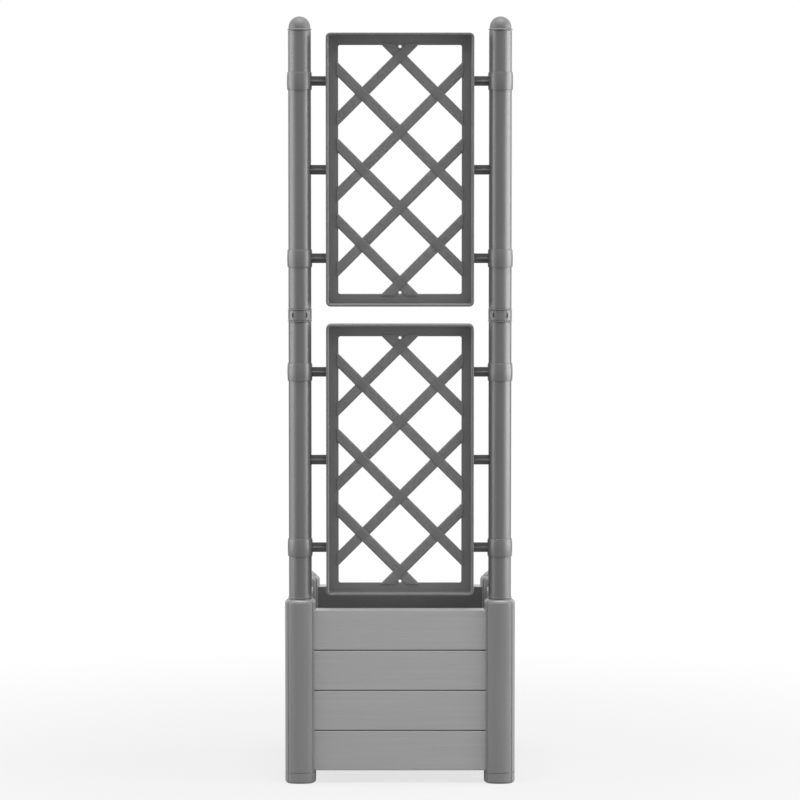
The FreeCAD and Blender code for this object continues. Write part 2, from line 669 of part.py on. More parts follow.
def lattice_panel(label, level):
    """Frame with a raised rim on both sides, woven-look lattice and three pegs on each side."""
    inner_width = mm.panel_width - 2 * mm.rim_thickness
    inner_height = mm.panel_height - 2 * mm.rim_thickness
    outer = slab(label + "_outer", mm.panel_width, mm.panel_height, mm.panel_depth, mm.panel_corner)
    inner = slab(label + "_inner", inner_width, inner_height, mm.panel_depth + 2 * CUT_MARGIN,
                 mm.panel_corner - mm.rim_thickness)
    web = slab(label + "_web", mm.panel_width - mm.rim_thickness, mm.panel_height - mm.rim_thickness,
               mm.web_thickness, mm.panel_corner - mm.rim_thickness)
    opening = slab(label + "_opening", opening_width, opening_height, mm.panel_depth, mm.opening_corner)
    rim = cut(label + "_rim", outer, [inner])
    plate = cut(label + "_plate", web, [opening])
    crossing = opening_height / 2 - mm.end_crossing
    gussets = []
    holes = []
    for side, name in ((-1, "low"), (1, "high")):
        gusset_height = opening_height / 2 + mm.rim_thickness - crossing
        gussets.append(block("%s_gusset_%s" % (label, name), 0, 0,
                             side * (crossing + gusset_height / 2) - gusset_height / 2,
                             mm.gusset_width, mm.web_thickness, gusset_height))
        hole = doc.addObject("Part::Cylinder", "%s_hole_%s" % (label, name))
        bind(hole, Radius=mm.gusset_hole, Height=mm.panel_depth)
        hole.Placement = Placement(Vector(), Rotation(Vector(1, 0, 0), -90))
        bind(hole, **{"Placement.Base.y": -mm.panel_depth / 2,
                      "Placement.Base.z": side * (opening_height / 2 - mm.gusset_hole_drop)})
        holes.append(hole)
    field = slab(label + "_field", opening_width + 2 * mm.bar_overlap, opening_height + 2 * mm.bar_overlap,
                 mm.panel_depth, mm.opening_corner)
    rising = lattice_bars(label + "_rising", 1)
    falling = lattice_bars(label + "_falling", -1)
    lattice = common(label + "_lattice", [fuse(label + "_weave", [rising, falling]), field])
    pegs = []
    peg_start = mm.panel_width / 2 - mm.rim_thickness / 2
    peg_length = half_spacing - mm.pole_radius + mm.peg_bite - peg_start
    for side in (-1, 1):
        for step in (-1, 0, 1):
            name = "%s_peg_%d%d" % (label, side + 1, step + 1)
            middle = side * (peg_start + peg_length / 2)
            centre_z = step * peg_spacing
            pegs.append(block(name + "_upright", middle, 0, centre_z - mm.peg_size / 2,
                              peg_length, mm.peg_rib, mm.peg_size))
            pegs.append(block(name + "_level", middle, 0, centre_z - mm.peg_rib / 2,
                              peg_length, mm.peg_size, mm.peg_rib))
    panel = cut(label, fuse(label + "_moulding", [rim, plate, lattice] + gussets + pegs), holes)
    place(panel, 0, -half_spacing, level)
    return finish(panel, label)


# ---- the assembly ----

CORNERS = [("front_left", -1, -1, 0), ("front_right", 1, -1, 90),
           ("rear_right", 1, 1, 180), ("rear_left", -1, 1, 270)]
SIDES = [("left", -1), ("right", 1)]

for corner_name, corner_x, corner_y, corner_turn in CORNERS:
    corner_column("column_" + corner_name, corner_x, corner_y, corner_turn)
    foot("foot_" + corner_name, corner_x, corner_y)

wall("wall_front", 0, -half_spacing, 0)
wall("wall_right", half_spacing, 0, 90)
wall("wall_rear", 0, half_spacing, 180)
wall("wall_left", -half_spacing, 0, 270)
floor_panel()

for side_name, side_x in SIDES:
    rear_plug("rear_plug_" + side_name, side_x)
    pole_base("pole_base_" + side_name, side_x)
    connector("connector_" + side_name, side_x)
    pole_cap("pole_cap_" + side_name, side_x)
    for storey, tube_z in (("lower", lower_tube_z), ("upper", upper_tube_z)):
        pole_tube("pole_tube_%s_%s" % (storey, side_name), side_x, tube_z)
        for place_name, step in (("low", -1), ("high", 1)):
            collar("collar_%s_%s_%s" % (storey, place_name, side_name), side_x,
                   tube_z + tube_length / 2 + step * peg_spacing)

for storey, tube_z in (("lower", lower_tube_z), ("upper", upper_tube_z)):
    lattice_panel("lattice_panel_" + storey, tube_z + tube_length / 2)

doc.recompute()

faults = []
for thing in doc.Objects:
    if "Invalid" in thing.State or "Error" in thing.State:
        faults.append("%s is in state %s" % (thing.Label, thing.State))
for thing in finished:
    shape = thing.Shape
    if shape.isNull() or not shape.isValid():
        faults.append("%s has no valid shape" % thing.Label)
    elif len(shape.Solids) != 1:
        faults.append("%s has %d solids" % (thing.Label, len(shape.Solids)))
if faults:
    raise RuntimeError("; ".join(faults))

os.makedirs("parts", exist_ok=True)
for thing in finished:
    thing.Shape.exportStep("parts/%s.step" % thing.Label)
    print("%-28s %10.0f mm3" % (thing.Label, thing.Shape.Volume))
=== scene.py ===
import json
import math

import bpy
import numpy as np
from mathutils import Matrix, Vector


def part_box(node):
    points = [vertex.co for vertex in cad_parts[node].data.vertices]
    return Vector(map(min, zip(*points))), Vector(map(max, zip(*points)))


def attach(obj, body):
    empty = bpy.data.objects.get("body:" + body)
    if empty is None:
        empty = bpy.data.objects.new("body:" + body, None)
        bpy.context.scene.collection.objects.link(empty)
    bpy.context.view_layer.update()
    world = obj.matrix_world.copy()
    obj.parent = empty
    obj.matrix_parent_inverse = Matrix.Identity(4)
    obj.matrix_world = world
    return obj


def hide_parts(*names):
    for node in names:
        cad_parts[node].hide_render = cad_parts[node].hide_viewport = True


# Square planter with plank-look walls and a trellis of two lattice panels between two poles, in
# grey moulded plastic. Metres, +Z up, the trellis at -Y. The columns, feet, walls, floor panel,
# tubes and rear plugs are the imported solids. The lattice panels are made here, because their bars
# carry a pressed grain that runs along each bar, and so are the rings and caps of the poles, for
# their rounded edges and shadow joints.

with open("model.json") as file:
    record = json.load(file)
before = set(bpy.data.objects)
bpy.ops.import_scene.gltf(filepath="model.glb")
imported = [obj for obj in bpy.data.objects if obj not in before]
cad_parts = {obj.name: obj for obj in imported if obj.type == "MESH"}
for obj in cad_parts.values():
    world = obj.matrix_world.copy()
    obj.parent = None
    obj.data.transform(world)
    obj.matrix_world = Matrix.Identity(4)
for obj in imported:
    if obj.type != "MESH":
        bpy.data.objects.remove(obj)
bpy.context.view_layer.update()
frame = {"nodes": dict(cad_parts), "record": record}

# Tones on screen, from 0 to 255.
POLE_TONE = 97
# Columns, feet and rear plugs: a lighter copy of the poles' grey, which paints in the extra light
# these low parts catch from the floor.
COLUMN_BOUNCE_LIT_TONE = 118
PLANK_TONE = 154
INNER_TONE = 100
LATTICE_TONE = 100

WALL_INNER_FACE = 0.1697    # from the planter's middle to the inner face of a wall
WALL_BLEND_START = 0.0004   # outside that face, the plain inner look gives way to the planks'
WALL_BLEND_END = 0.0012
RIM_LEVEL = 0.3255          # the walls' top rim starts here
RIM_BLEND = 0.0004          # height over which the grain ends

# Roughness of the smooth mouldings.
POST_ROUGHNESS = 0.30
CAP_ROUGHNESS = 0.48
RIM_ROUGHNESS = 0.34

SHARP_ANGLE = math.radians(40)      # edges that turn by more stay crisp
SAME_POINT = 1e-7           # points of a line that are closer than this are one
TINY = 1e-6                 # keeps divisions away from zero

# The turned pieces of the poles.
TURN_POINTS = 256           # points round a ring
BAND_POINTS = 40            # heights on a band, for its slots
COLLAR_POINTS = 17          # heights on a collar
DOME_POINTS = 40            # points from a dome's side to its top
TUBE_RADIUS = 0.02125
SPIGOT_RADIUS = 0.01875
SPIGOT_INSIDE = 0.01635
SPIGOT_EDGE = 0.0006        # rounding of a spigot's end, outside and inside
SPIGOT_INNER_EDGE = 0.0004
SOCKET_SPIGOT_RADIUS = 0.0190
NECK_RADIUS = 0.0194
JOINT = 0.0011              # height of the shadow joint beside a flange
FLANGE_RADIUS = 0.0227
FLANGE = 0.0019             # thickness of a flange
FLANGE_EDGE = 0.0009        # its rounding
BAND_RADIUS = 0.0218
BAND_EDGE = 0.0003
COLLAR_INSIDE = 0.0214
COLLAR_WAIST = 0.0234
COLLAR_END = 0.0226
COLLAR_EDGE = 0.0008
BASE_FLANGE = 0.0016        # thickness of the flange under a tube
BASE_LOWER_EDGE = 0.0005    # its roundings
BASE_UPPER_EDGE = 0.0013
CAP_RING_RADIUS = 0.0224
CAP_RING_EDGE = 0.0006
CAP_HOLLOW = 0.0040         # from the tube's end to the top of the hollow in the cap
DOME_RADIUS = 0.0201
DOME_SIDE = 0.0062          # from the tube's end to the dome's centre
FLARE_RISE = 0.0008         # from the ring to the corner that becomes its flare
FLARE_EDGE = 0.0012         # rounding of that corner
NEAR_AXIS = 0.0006          # a capped profile stops this far from the axis

# The latch slots. Start, slope and the lip's place are in units in which the oval's edge is 1.
SLOT_ANGLE = math.radians(35)
SLOT_HALF_WIDTH = 0.0015
SLOT_HALF_HEIGHT = 0.0050
SLOT_DEPTH = 0.0020
SLOT_START = 1.15           # where the surface starts to sink
SLOT_SLOPE = 0.4            # how far it takes to reach the slot's floor
SLOT_LIP = 0.0003           # height of the lip
LIP_MIDDLE = 1.5            # where the lip is highest
LIP_HALF_WIDTH = 0.35
RELIEF_MARGIN = 0.0004      # the slots only touch points that lie further out than the neck

# The lattice panel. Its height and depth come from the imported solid.
PANEL_WIDTH = 0.275
PANEL_CORNER = 0.009
RIM_THICKNESS = 0.0046
RIM_ROUNDING = 0.0022
RAIL_WIDTH = 0.023
WEB_THICKNESS = 0.006
WEB_FILLET = 0.0015
OPENING_CORNER = 0.0035
OPENING_ROUNDING = 0.0010
BAR_WIDTH = 0.019
BAR_THICKNESS = 0.009
BAR_ROUNDING = 0.0018
BAR_CROWN = 0.0003
BAR_OVERLAP = 0.0025        # how far a bar runs onto the rails
BAR_ROW = 0.003             # from one section of a bar to the next
WEAVE_DEPTH = 0.0012        # depth of the hollow where two bars cross, and half its length
WEAVE_REACH = 0.0215
LATTICE_STEPS = 3           # from a panel's middle to its last crossing
END_CROSSING = 0.0205       # from that crossing to the opening's edge
BAR_STEPS = (-3, -1, 1, 3)  # where the bars meet a panel's upright middle line
GUSSET_WIDTH = 0.020
GUSSET_HOLE = 0.0029        # radius of the hole
GUSSET_HOLE_DROP = 0.0026   # from the opening's edge to the hole's middle
GUSSET_EDGE = 0.0006
GUSSET_INSET = 0.0002       # how far its faces lie below those of the web
GUSSET_RAYS = 72
PEG_SIZE = 0.018            # across the plus sign
PEG_RIB = 0.003             # thickness of its arms
PEG_EDGE = 0.0004
PEG_MARGIN = 0.0893         # from a panel's end to the middle of its nearest pegs

# How much of the bars' pressed grain the other parts of a panel carry.
FRAME_GRAIN = 0.15
GUSSET_GRAIN = 0.3
PEG_GRAIN = 0.2
BARE_REACH = 0.014          # the grain has gone this far from the middle of a crossing,
BARE_FADE = 0.006           # and fades over this length
STEP_SHIFT = 0.9            # the grain starts elsewhere on each bar
SLOPE_SHIFT = 0.4

# Heights of the reliefs in the materials.
PEEL_RELIEF = 0.00003
PLANK_RELIEF = 0.0003
LATTICE_RELIEF = 0.00025
STIPPLE_RELIEF = 0.0001
STREAK_WANDER = 0.012       # how far the planks' streaks wander up and down

# The camera, as fitted to the photographed outlines.
PICTURE_WIDTH = 800         # in pixels, like the focal length
FOCAL_LENGTH = 4035.5
SENSOR_WIDTH = 36.0
CAMERA_PLACE = (0, -7.6862, 1.2762)
CAMERA_PITCH = 4.255        # degrees downwards


def grey(tone):
    """Linear colour of a neutral grey that shows on screen as tone (0 to 255)."""
    share = tone / 255
    linear = share / 12.92 if share <= 0.04045 else ((share + 0.055) / 1.055) ** 2.4
    return (linear, linear, linear, 1.0)


# ---- surfaces from arrays ----

class Surface:
    """Closed surface: points, blocks of faces with equally many corners, each point's place
    along and across in metres, and how much grain it carries, from 0 to 1."""

    def __init__(self, points, faces, places, grain):
        self.points = points
        self.faces = faces
        self.places = places
        self.grain = grain

    def turned_outwards(self):
        """The same surface with its faces pointing out. The volume is the sum of the signed
        tetrahedra between the middle of the surface and the triangles of each face."""
        around = self.points - self.points.mean(axis=0)
        volume = 0.0
        for block in self.faces:
            corners = around[block]
            for corner in range(1, block.shape[1] - 1):
                across = np.cross(corners[:, corner], corners[:, corner + 1])
                volume += np.sum(corners[:, 0] * across)
        if volume < 0:
            self.faces = [block[:, ::-1] for block in self.faces]
        return self


def grid_faces(rows, columns, close_rows=False, close_columns=False):
    """Quads of a grid whose point (i, j) has the index i * columns + j. A closed direction
    joins its last row or column to its first."""
    i = np.arange(rows if close_rows else rows - 1)[:, None]
    j = np.arange(columns if close_columns else columns - 1)[None, :]
    i_next = (i + 1) % rows
    j_next = (j + 1) % columns
    corners = (i * columns + j, i_next * columns + j,
               i_next * columns + j_next, i * columns + j_next)
    return np.stack([c.reshape(-1) for c in np.broadcast_arrays(*corners)], axis=1)


def tube_faces(rows, columns):
    """Quads of a tube that is closed round its section, and one cap at each end."""
    first_cap = np.arange(columns)[None, :]
    last_cap = first_cap[:, ::-1] + (rows - 1) * columns
    return [grid_faces(rows, columns, close_columns=True), first_cap, last_cap]


def gathered(surfaces):
    """One surface that holds several."""
    faces = []
    count = 0
    for surface in surfaces:
        faces += [block + count for block in surface.faces]
        count += len(surface.points)
    points, places, grain = (np.concatenate([getattr(surface, part) for surface in surfaces])
                             for part in ("points", "places", "grain"))
    return Surface(points, faces, places, grain)


def lengths_along(points):
    """Distance from the first point to each point, measured along the line through them."""
    steps = np.linalg.norm(np.diff(points, axis=0), axis=-1)
    return np.concatenate([[0.0], np.cumsum(steps)])


def softened(corners, steps=4):
    """Closed line through corners (x, y, rounding). Each corner becomes a parabola that leaves
    one side and meets the next at its rounding's distance from the corner."""
    corners = np.array(corners, dtype=float)
    at = corners[:, None, :2]
    rounding = corners[:, None, 2:]
    before = np.roll(at, 1, axis=0) - at
    after = np.roll(at, -1, axis=0) - at
    start = at + before / np.linalg.norm(before, axis=-1, keepdims=True) * rounding
    end = at + after / np.linalg.norm(after, axis=-1, keepdims=True) * rounding
    t = np.linspace(0, 1, steps + 1)[None, :, None]
    line = ((1 - t) ** 2 * start + 2 * t * (1 - t) * at + t ** 2 * end).reshape(-1, 2)
    gap = np.linalg.norm(line - np.roll(line, 1, axis=0), axis=1)
    return line[gap > SAME_POINT]


def piece(name, surface, material):
    """Object made of a surface. Its places become the UV map "along" and its grain the attribute
    "grain"."""
    mesh = bpy.data.meshes.new(name)
    faces = [face for block in surface.faces for face in block.tolist()]
    mesh.from_pydata(surface.points.tolist(), [], faces)
    layer = mesh.uv_layers.new(name="along")
    corner_points = np.empty(len(mesh.loops), dtype=np.int32)
    mesh.loops.foreach_get("vertex_index", corner_points)
    layer.data.foreach_set("uv", surface.places[corner_points].astype(np.float32).reshape(-1))
    grain = mesh.attributes.new(name="grain", type="FLOAT", domain="POINT")
    grain.data.foreach_set("value", surface.grain.astype(np.float32))
    mesh.polygons.foreach_set("use_smooth", np.ones(len(mesh.polygons), dtype=bool))
    mesh.set_sharp_from_angle(angle=SHARP_ANGLE)
    mesh.materials.append(material)
    mesh.update()
    thing = bpy.data.objects.new(name, mesh)
    bpy.context.scene.collection.objects.link(thing)
    return thing


# ---- materials ----

class Graph:
    """Short names for building a node material."""

    def __init__(self, name):
        self.material = bpy.data.materials.new(name)
        self.material.use_nodes = True
        self.tree = self.material.node_tree
        self.shader = self.tree.nodes["Principled BSDF"]

    def node(self, kind, **settings):
        made = self.tree.nodes.new(kind)
        for key, setting in settings.items():
            setattr(made, key, setting)
        return made

    def link(self, source, target):
        self.tree.links.new(source, target)

    def feed(self, target, source):
        """Give an input a link or a plain value."""
        if isinstance(source, bpy.types.NodeSocket):
            self.link(source, target)
        else:
            target.default_value = source

    def math(self, operation, *inputs):
        made = self.node("ShaderNodeMath", operation=operation)
        for socket, source in zip(made.inputs, inputs):
            self.feed(socket, source)
        return made.outputs[0]

    def place(self):
        """The point's place on the object, in metres."""
        return self.node("ShaderNodeTexCoord").outputs["Object"]

    def along(self):
        """The point's place along and across a bar or rail, in metres."""
        return self.node("ShaderNodeUVMap", uv_map="along").outputs["UV"]

    def split(self, vector):
        made = self.node("ShaderNodeSeparateXYZ")
        self.link(vector, made.inputs[0])
        return made.outputs["X"], made.outputs["Y"], made.outputs["Z"]

    def stretched(self, vector, scale):
        mapping = self.node("ShaderNodeMapping")
        self.link(vector, mapping.inputs["Vector"])
        mapping.inputs["Scale"].default_value = scale
        return mapping.outputs["Vector"]

    def noise(self, vector, detail, distortion=0.0):
        made = self.node("ShaderNodeTexNoise")
        self.link(vector, made.inputs["Vector"])
        made.inputs["Scale"].default_value = 1.0
        made.inputs["Detail"].default_value = detail
        made.inputs["Roughness"].default_value = 0.55
        made.inputs["Distortion"].default_value = distortion
        return made.outputs["Fac"]

    def remap(self, value, low, high, new_low, new_high):
        made = self.node("ShaderNodeMapRange")
        made.clamp = True
        for socket, source in zip(made.inputs, (value, low, high, new_low, new_high)):
            self.feed(socket, source)
        return made.outputs[0]

    def varied(self, noise, low, high):
        """A noise spread from low to high, cut off at its rare values."""
        return self.remap(noise, 0.3, 0.7, low, high)

    def blend(self, factor, first, second):
        """Mix of two colours."""
        made = self.node("ShaderNodeMix", data_type="RGBA")
        for name, source in (("Factor_Float", factor), ("A_Color", first), ("B_Color", second)):
            socket = [s for s in made.inputs if s.identifier == name][0]
            self.feed(socket, source)
        return [s for s in made.outputs if s.identifier == "Result_Color"][0]

    def scaled(self, colour, share):
        """Colour times a value that varies over the surface."""
        made = self.node("ShaderNodeVectorMath", operation="SCALE")
        self.feed(made.inputs[0], colour[:3] if isinstance(colour, tuple) else colour)
        self.feed(made.inputs["Scale"], share)
        return made.outputs[0]

    def bump(self, height, distance):
        """Relief of the given height in metres from low to high."""
        made = self.node("ShaderNodeBump")
        self.link(height, made.inputs["Height"])
        made.inputs["Distance"].default_value = distance
        self.link(made.outputs["Normal"], self.shader.inputs["Normal"])


def post_plastic(name, colour_tone, roughness=POST_ROUGHNESS):
    """Smooth satin moulding of the columns, poles and feet: faint upright flow marks and clouds
    in tone and gloss, and the finest orange peel."""
    g = Graph(name)
    at = g.place()
    cloud = g.noise(g.stretched(at, (14, 14, 5)), detail=3)
    flow = g.noise(g.stretched(at, (160, 160, 4)), detail=3)
    peel = g.noise(g.stretched(at, (420, 420, 300)), detail=2)
    tone = g.math("MULTIPLY", g.varied(cloud, 0.96, 1.04), g.varied(flow, 0.975, 1.025))
    g.link(g.scaled(grey(colour_tone), tone), g.shader.inputs["Base Color"])
    g.link(g.varied(cloud, roughness, roughness + 0.08), g.shader.inputs["Roughness"])
    g.bump(peel, PEEL_RELIEF)
    return g.material


def plank_plastic():
    """Pressed wood grain on the outside of the walls: long fine streaks that wander up and down a
    little, with short pores. The top rim is smooth, and the inner faces are plain and darker."""
    g = Graph("plank_plastic")
    at = g.place()
    x, y, z = g.split(at)
    reach = g.math("MAXIMUM", g.math("ABSOLUTE", x), g.math("ABSOLUTE", y))
    outside = g.remap(reach, WALL_INNER_FACE + WALL_BLEND_START,
                      WALL_INNER_FACE + WALL_BLEND_END, 0.0, 1.0)
    wander = g.noise(g.stretched(at, (7, 7, 30)), detail=2)
    level = g.math("ADD", z, g.math("MULTIPLY", wander, STREAK_WANDER))
    bent = g.node("ShaderNodeCombineXYZ")
    for socket, source in zip(bent.inputs, (x, y, level)):
        g.link(source, socket)
    streak = g.noise(g.stretched(bent.outputs[0], (4, 4, 330)), detail=4)
    pores = g.noise(g.stretched(bent.outputs[0], (45, 45, 1500)), detail=3)
    cloud = g.noise(g.stretched(at, (3, 3, 12)), detail=2)
    pored = g.remap(pores, 0.35, 0.5, 0.97, 1.0)
    tone = g.math("MULTIPLY", g.varied(streak, 0.96, 1.035), pored)
    tone = g.math("MULTIPLY", tone, g.varied(cloud, 0.98, 1.02))
    inner = g.scaled(grey(INNER_TONE), g.varied(cloud, 0.92, 1.08))
    rim = g.remap(z, RIM_LEVEL, RIM_LEVEL + RIM_BLEND, 0.0, 1.0)
    g.link(g.blend(outside, inner, g.scaled(grey(PLANK_TONE), tone)), g.shader.inputs["Base Color"])
    grained = g.math("SUBTRACT", outside, g.math("MULTIPLY", outside, rim))
    rough = g.varied(streak, 0.5, 0.62)
    g.link(g.remap(grained, 0.0, 1.0, RIM_ROUGHNESS, rough), g.shader.inputs["Roughness"])
    relief = g.math("ADD", g.math("MULTIPLY", streak, 0.6), g.math("MULTIPLY", pores, 0.4))
    g.bump(g.math("MULTIPLY", relief, grained), PLANK_RELIEF)
    return g.material


def lattice_plastic():
    """Grain pressed into the bars along their length: broken dashes, lighter on their ridges.
    It fades out on the rails and where two bars cross."""
    g = Graph("lattice_plastic")
    along = g.along()
    amount = g.node("ShaderNodeAttribute", attribute_name="grain").outputs["Fac"]
    dash = g.noise(g.stretched(along, (90, 620, 1)), detail=3, distortion=0.3)
    cloud = g.noise(g.stretched(g.place(), (9, 9, 9)), detail=3)
    ridge = g.remap(dash, 0.38, 0.62, 0.0, 1.0)
    grain = g.math("MULTIPLY", ridge, amount)
    ridged = g.remap(grain, 0.0, 1.0, 0.90, 1.20)
    tone = g.math("MULTIPLY", g.varied(cloud, 0.95, 1.05), ridged)
    g.link(g.scaled(grey(LATTICE_TONE), tone), g.shader.inputs["Base Color"])
    g.link(g.remap(grain, 0.0, 1.0, 0.38, 0.5), g.shader.inputs["Roughness"])
    g.bump(grain, LATTICE_RELIEF)
    return g.material


def floor_plastic():
    """Plain inner moulding with a fine stipple."""
    g = Graph("floor_plastic")
    at = g.place()
    stipple = g.noise(g.stretched(at, (700, 700, 700)), detail=2)
    cloud = g.noise(g.stretched(at, (9, 9, 9)), detail=3)
    tone = g.varied(cloud, 0.92, 1.08)
    g.link(g.scaled(grey(INNER_TONE), tone), g.shader.inputs["Base Color"])
    g.link(g.varied(stipple, 0.5, 0.65), g.shader.inputs["Roughness"])
    g.bump(stipple, STIPPLE_RELIEF)
    return g.material


MATERIALS = {
    "post_plastic": post_plastic("pole_plastic", POLE_TONE),
    "plank_plastic": plank_plastic(),
    "lattice_plastic": lattice_plastic(),
    "floor_plastic": floor_plastic(),
}
CAP_PLASTIC = post_plastic("cap_plastic", POLE_TONE, CAP_ROUGHNESS)
# Painted light: the columns, feet and rear plugs get a lighter copy of the pole plastic, standing in
# for the floor's bounce light on them.
BOUNCE_LIT_COLUMN_PLASTIC = post_plastic("column_plastic_painted_bounce", COLUMN_BOUNCE_LIT_TONE)

for entry in frame["record"]["subparts"]:
    node = frame["nodes"][entry["node"]]
    node.data.materials.clear()
    lower = entry["node"].startswith(("column_", "foot_", "rear_plug_"))
    node.data.materials.append(BOUNCE_LIT_COLUMN_PLASTIC if lower else MATERIALS[entry["material_slot"]])


# ---- rings and caps of the poles ----

def turned(node, profile, relief=None, capped=False):
    """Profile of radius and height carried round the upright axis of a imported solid. It is closed,
    or its two ends are capped next to the axis. The relief pushes the surface in by an amount
    that depends on angle, height and radius."""
    low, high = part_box(node)
    middle = (low + high) / 2
    angle = np.linspace(0, 2 * math.pi, TURN_POINTS + 1)[:-1, None]
    radius = np.broadcast_to(profile[None, :, 0], (TURN_POINTS, len(profile)))
    height = profile[None, :, 1]
    if relief is not None:
        radius = radius - relief(angle, height, radius)
    x = middle.x + radius * np.cos(angle)
    y = middle.y + radius * np.sin(angle)
    points = np.stack(np.broadcast_arrays(x, y, height), axis=-1)
    up = lengths_along(profile)[None, :]
    places = np.stack(np.broadcast_arrays(angle * TUBE_RADIUS, up), axis=-1)
    faces = [grid_faces(TURN_POINTS, len(profile), close_rows=True, close_columns=not capped)]
    if capped:
        end = np.arange(TURN_POINTS)[None, :] * len(profile)
        faces += [end[:, ::-1], end + len(profile) - 1]
    return Surface(points.reshape(-1, 3), faces, places.reshape(-1, 2),
                   np.zeros(TURN_POINTS * len(profile))).turned_outwards()


def stand_in(name, node, body, surface, look=MATERIALS["post_plastic"]):
    """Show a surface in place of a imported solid."""
    shown = piece(name, surface, look)
    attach(shown, body)
    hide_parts(node)


def latch_slots(angle, height, radius, middle_height):
    """Two oval slots in the band, either side of the front. The distance from a slot's middle is
    1 on its oval; the surface sinks inside it and rises a little to a lip around it."""
    pushed = np.zeros(np.broadcast(angle, height).shape)
    for side in (-1, 1):
        off = angle - (1.5 * math.pi + side * SLOT_ANGLE)
        distance = np.hypot(off * BAND_RADIUS / SLOT_HALF_WIDTH,
                            (height - middle_height) / SLOT_HALF_HEIGHT)
        sunk = np.clip((SLOT_START - distance) / SLOT_SLOPE, 0, 1)
        raised = np.clip(1 - np.abs(distance - LIP_MIDDLE) / LIP_HALF_WIDTH, 0, 1)
        pushed = pushed + SLOT_DEPTH * sunk - SLOT_LIP * raised
    return np.where(radius > NECK_RADIUS + RELIEF_MARGIN, pushed, 0.0)


def connector(side):
    """Band with latch slots between two flanges. A narrow shadow joint parts each flange from
    the band and from its tube, and a spigot reaches into the tube above and below."""
    node = "connector_" + side
    low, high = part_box(node)
    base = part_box("pole_tube_lower_" + side)[1].z
    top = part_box("pole_tube_upper_" + side)[0].z
    middle = (base + top) / 2
    low_flange = base + JOINT
    high_flange = top - JOINT - FLANGE
    band_low = low_flange + FLANGE + JOINT
    band_high = high_flange - JOINT
    band = [(BAND_RADIUS, z, 0.0)
            for z in np.linspace(band_low, band_high, BAND_POINTS)[1:-1]]
    profile = softened([
        (SPIGOT_INSIDE, low.z, SPIGOT_INNER_EDGE), (SPIGOT_RADIUS, low.z, SPIGOT_EDGE),
        (SPIGOT_RADIUS, base, 0.0), (NECK_RADIUS, base, 0.0), (NECK_RADIUS, low_flange, 0.0),
        (FLANGE_RADIUS, low_flange, FLANGE_EDGE),
        (FLANGE_RADIUS, low_flange + FLANGE, FLANGE_EDGE),
        (NECK_RADIUS, low_flange + FLANGE, 0.0), (NECK_RADIUS, band_low, 0.0),
        (BAND_RADIUS, band_low, BAND_EDGE)] + band + [(BAND_RADIUS, band_high, BAND_EDGE),
        (NECK_RADIUS, band_high, 0.0), (NECK_RADIUS, high_flange, 0.0),
        (FLANGE_RADIUS, high_flange, FLANGE_EDGE),
        (FLANGE_RADIUS, high_flange + FLANGE, FLANGE_EDGE),
        (NECK_RADIUS, high_flange + FLANGE, 0.0), (NECK_RADIUS, top, 0.0),
        (SPIGOT_RADIUS, top, 0.0), (SPIGOT_RADIUS, high.z, SPIGOT_EDGE),
        (SPIGOT_INSIDE, high.z, SPIGOT_INNER_EDGE)])
    surface = turned(node, profile, lambda a, h, r: latch_slots(a, h, r, middle))
    stand_in("connector_ring_" + side, node, "trellis_lower", surface)


def collar(storey, level, side):
    """Barrel-shaped ring round the tube: its radius falls from the waist to the ends like a shallow
    parabola, and its ends are rounded."""
    node = "collar_%s_%s_%s" % (storey, level, side)
    low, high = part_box(node)
    middle = (low.z + high.z) / 2
    half = (high.z - low.z) / 2
    share = np.linspace(-1, 1, COLLAR_POINTS)
    barrel = [(COLLAR_WAIST - (COLLAR_WAIST - COLLAR_END) * t ** 2, middle + half * t,
               COLLAR_EDGE if abs(t) == 1 else 0.0) for t in share]
    profile = softened([(COLLAR_INSIDE, low.z, 0.0)] + barrel + [(COLLAR_INSIDE, high.z, 0.0)])
    name = "collar_ring_%s_%s_%s" % (storey, level, side)
    stand_in(name, node, "trellis_" + storey, turned(node, profile))


def pole_base(side):
    """Rounded flange on a narrow neck, with a spigot down into the column and one up into the
    tube."""
    node = "pole_base_" + side
    low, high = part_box(node)
    tube_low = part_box("pole_tube_lower_" + side)[0].z
    column_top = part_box("column_front_" + side)[1].z
    flange_low = tube_low - BASE_FLANGE
    profile = softened([
        (SPIGOT_INSIDE, low.z, SPIGOT_INNER_EDGE), (SOCKET_SPIGOT_RADIUS, low.z, SPIGOT_EDGE),
        (SOCKET_SPIGOT_RADIUS, column_top, 0.0), (NECK_RADIUS, column_top, 0.0),
        (NECK_RADIUS, flange_low, 0.0), (FLANGE_RADIUS, flange_low, BASE_LOWER_EDGE),
        (FLANGE_RADIUS, tube_low, BASE_UPPER_EDGE), (SPIGOT_RADIUS, tube_low, 0.0),
        (SPIGOT_RADIUS, high.z, SPIGOT_EDGE), (SPIGOT_INSIDE, high.z, SPIGOT_INNER_EDGE)])
    stand_in("pole_foot_" + side, node, "trellis_lower", turned(node, profile))


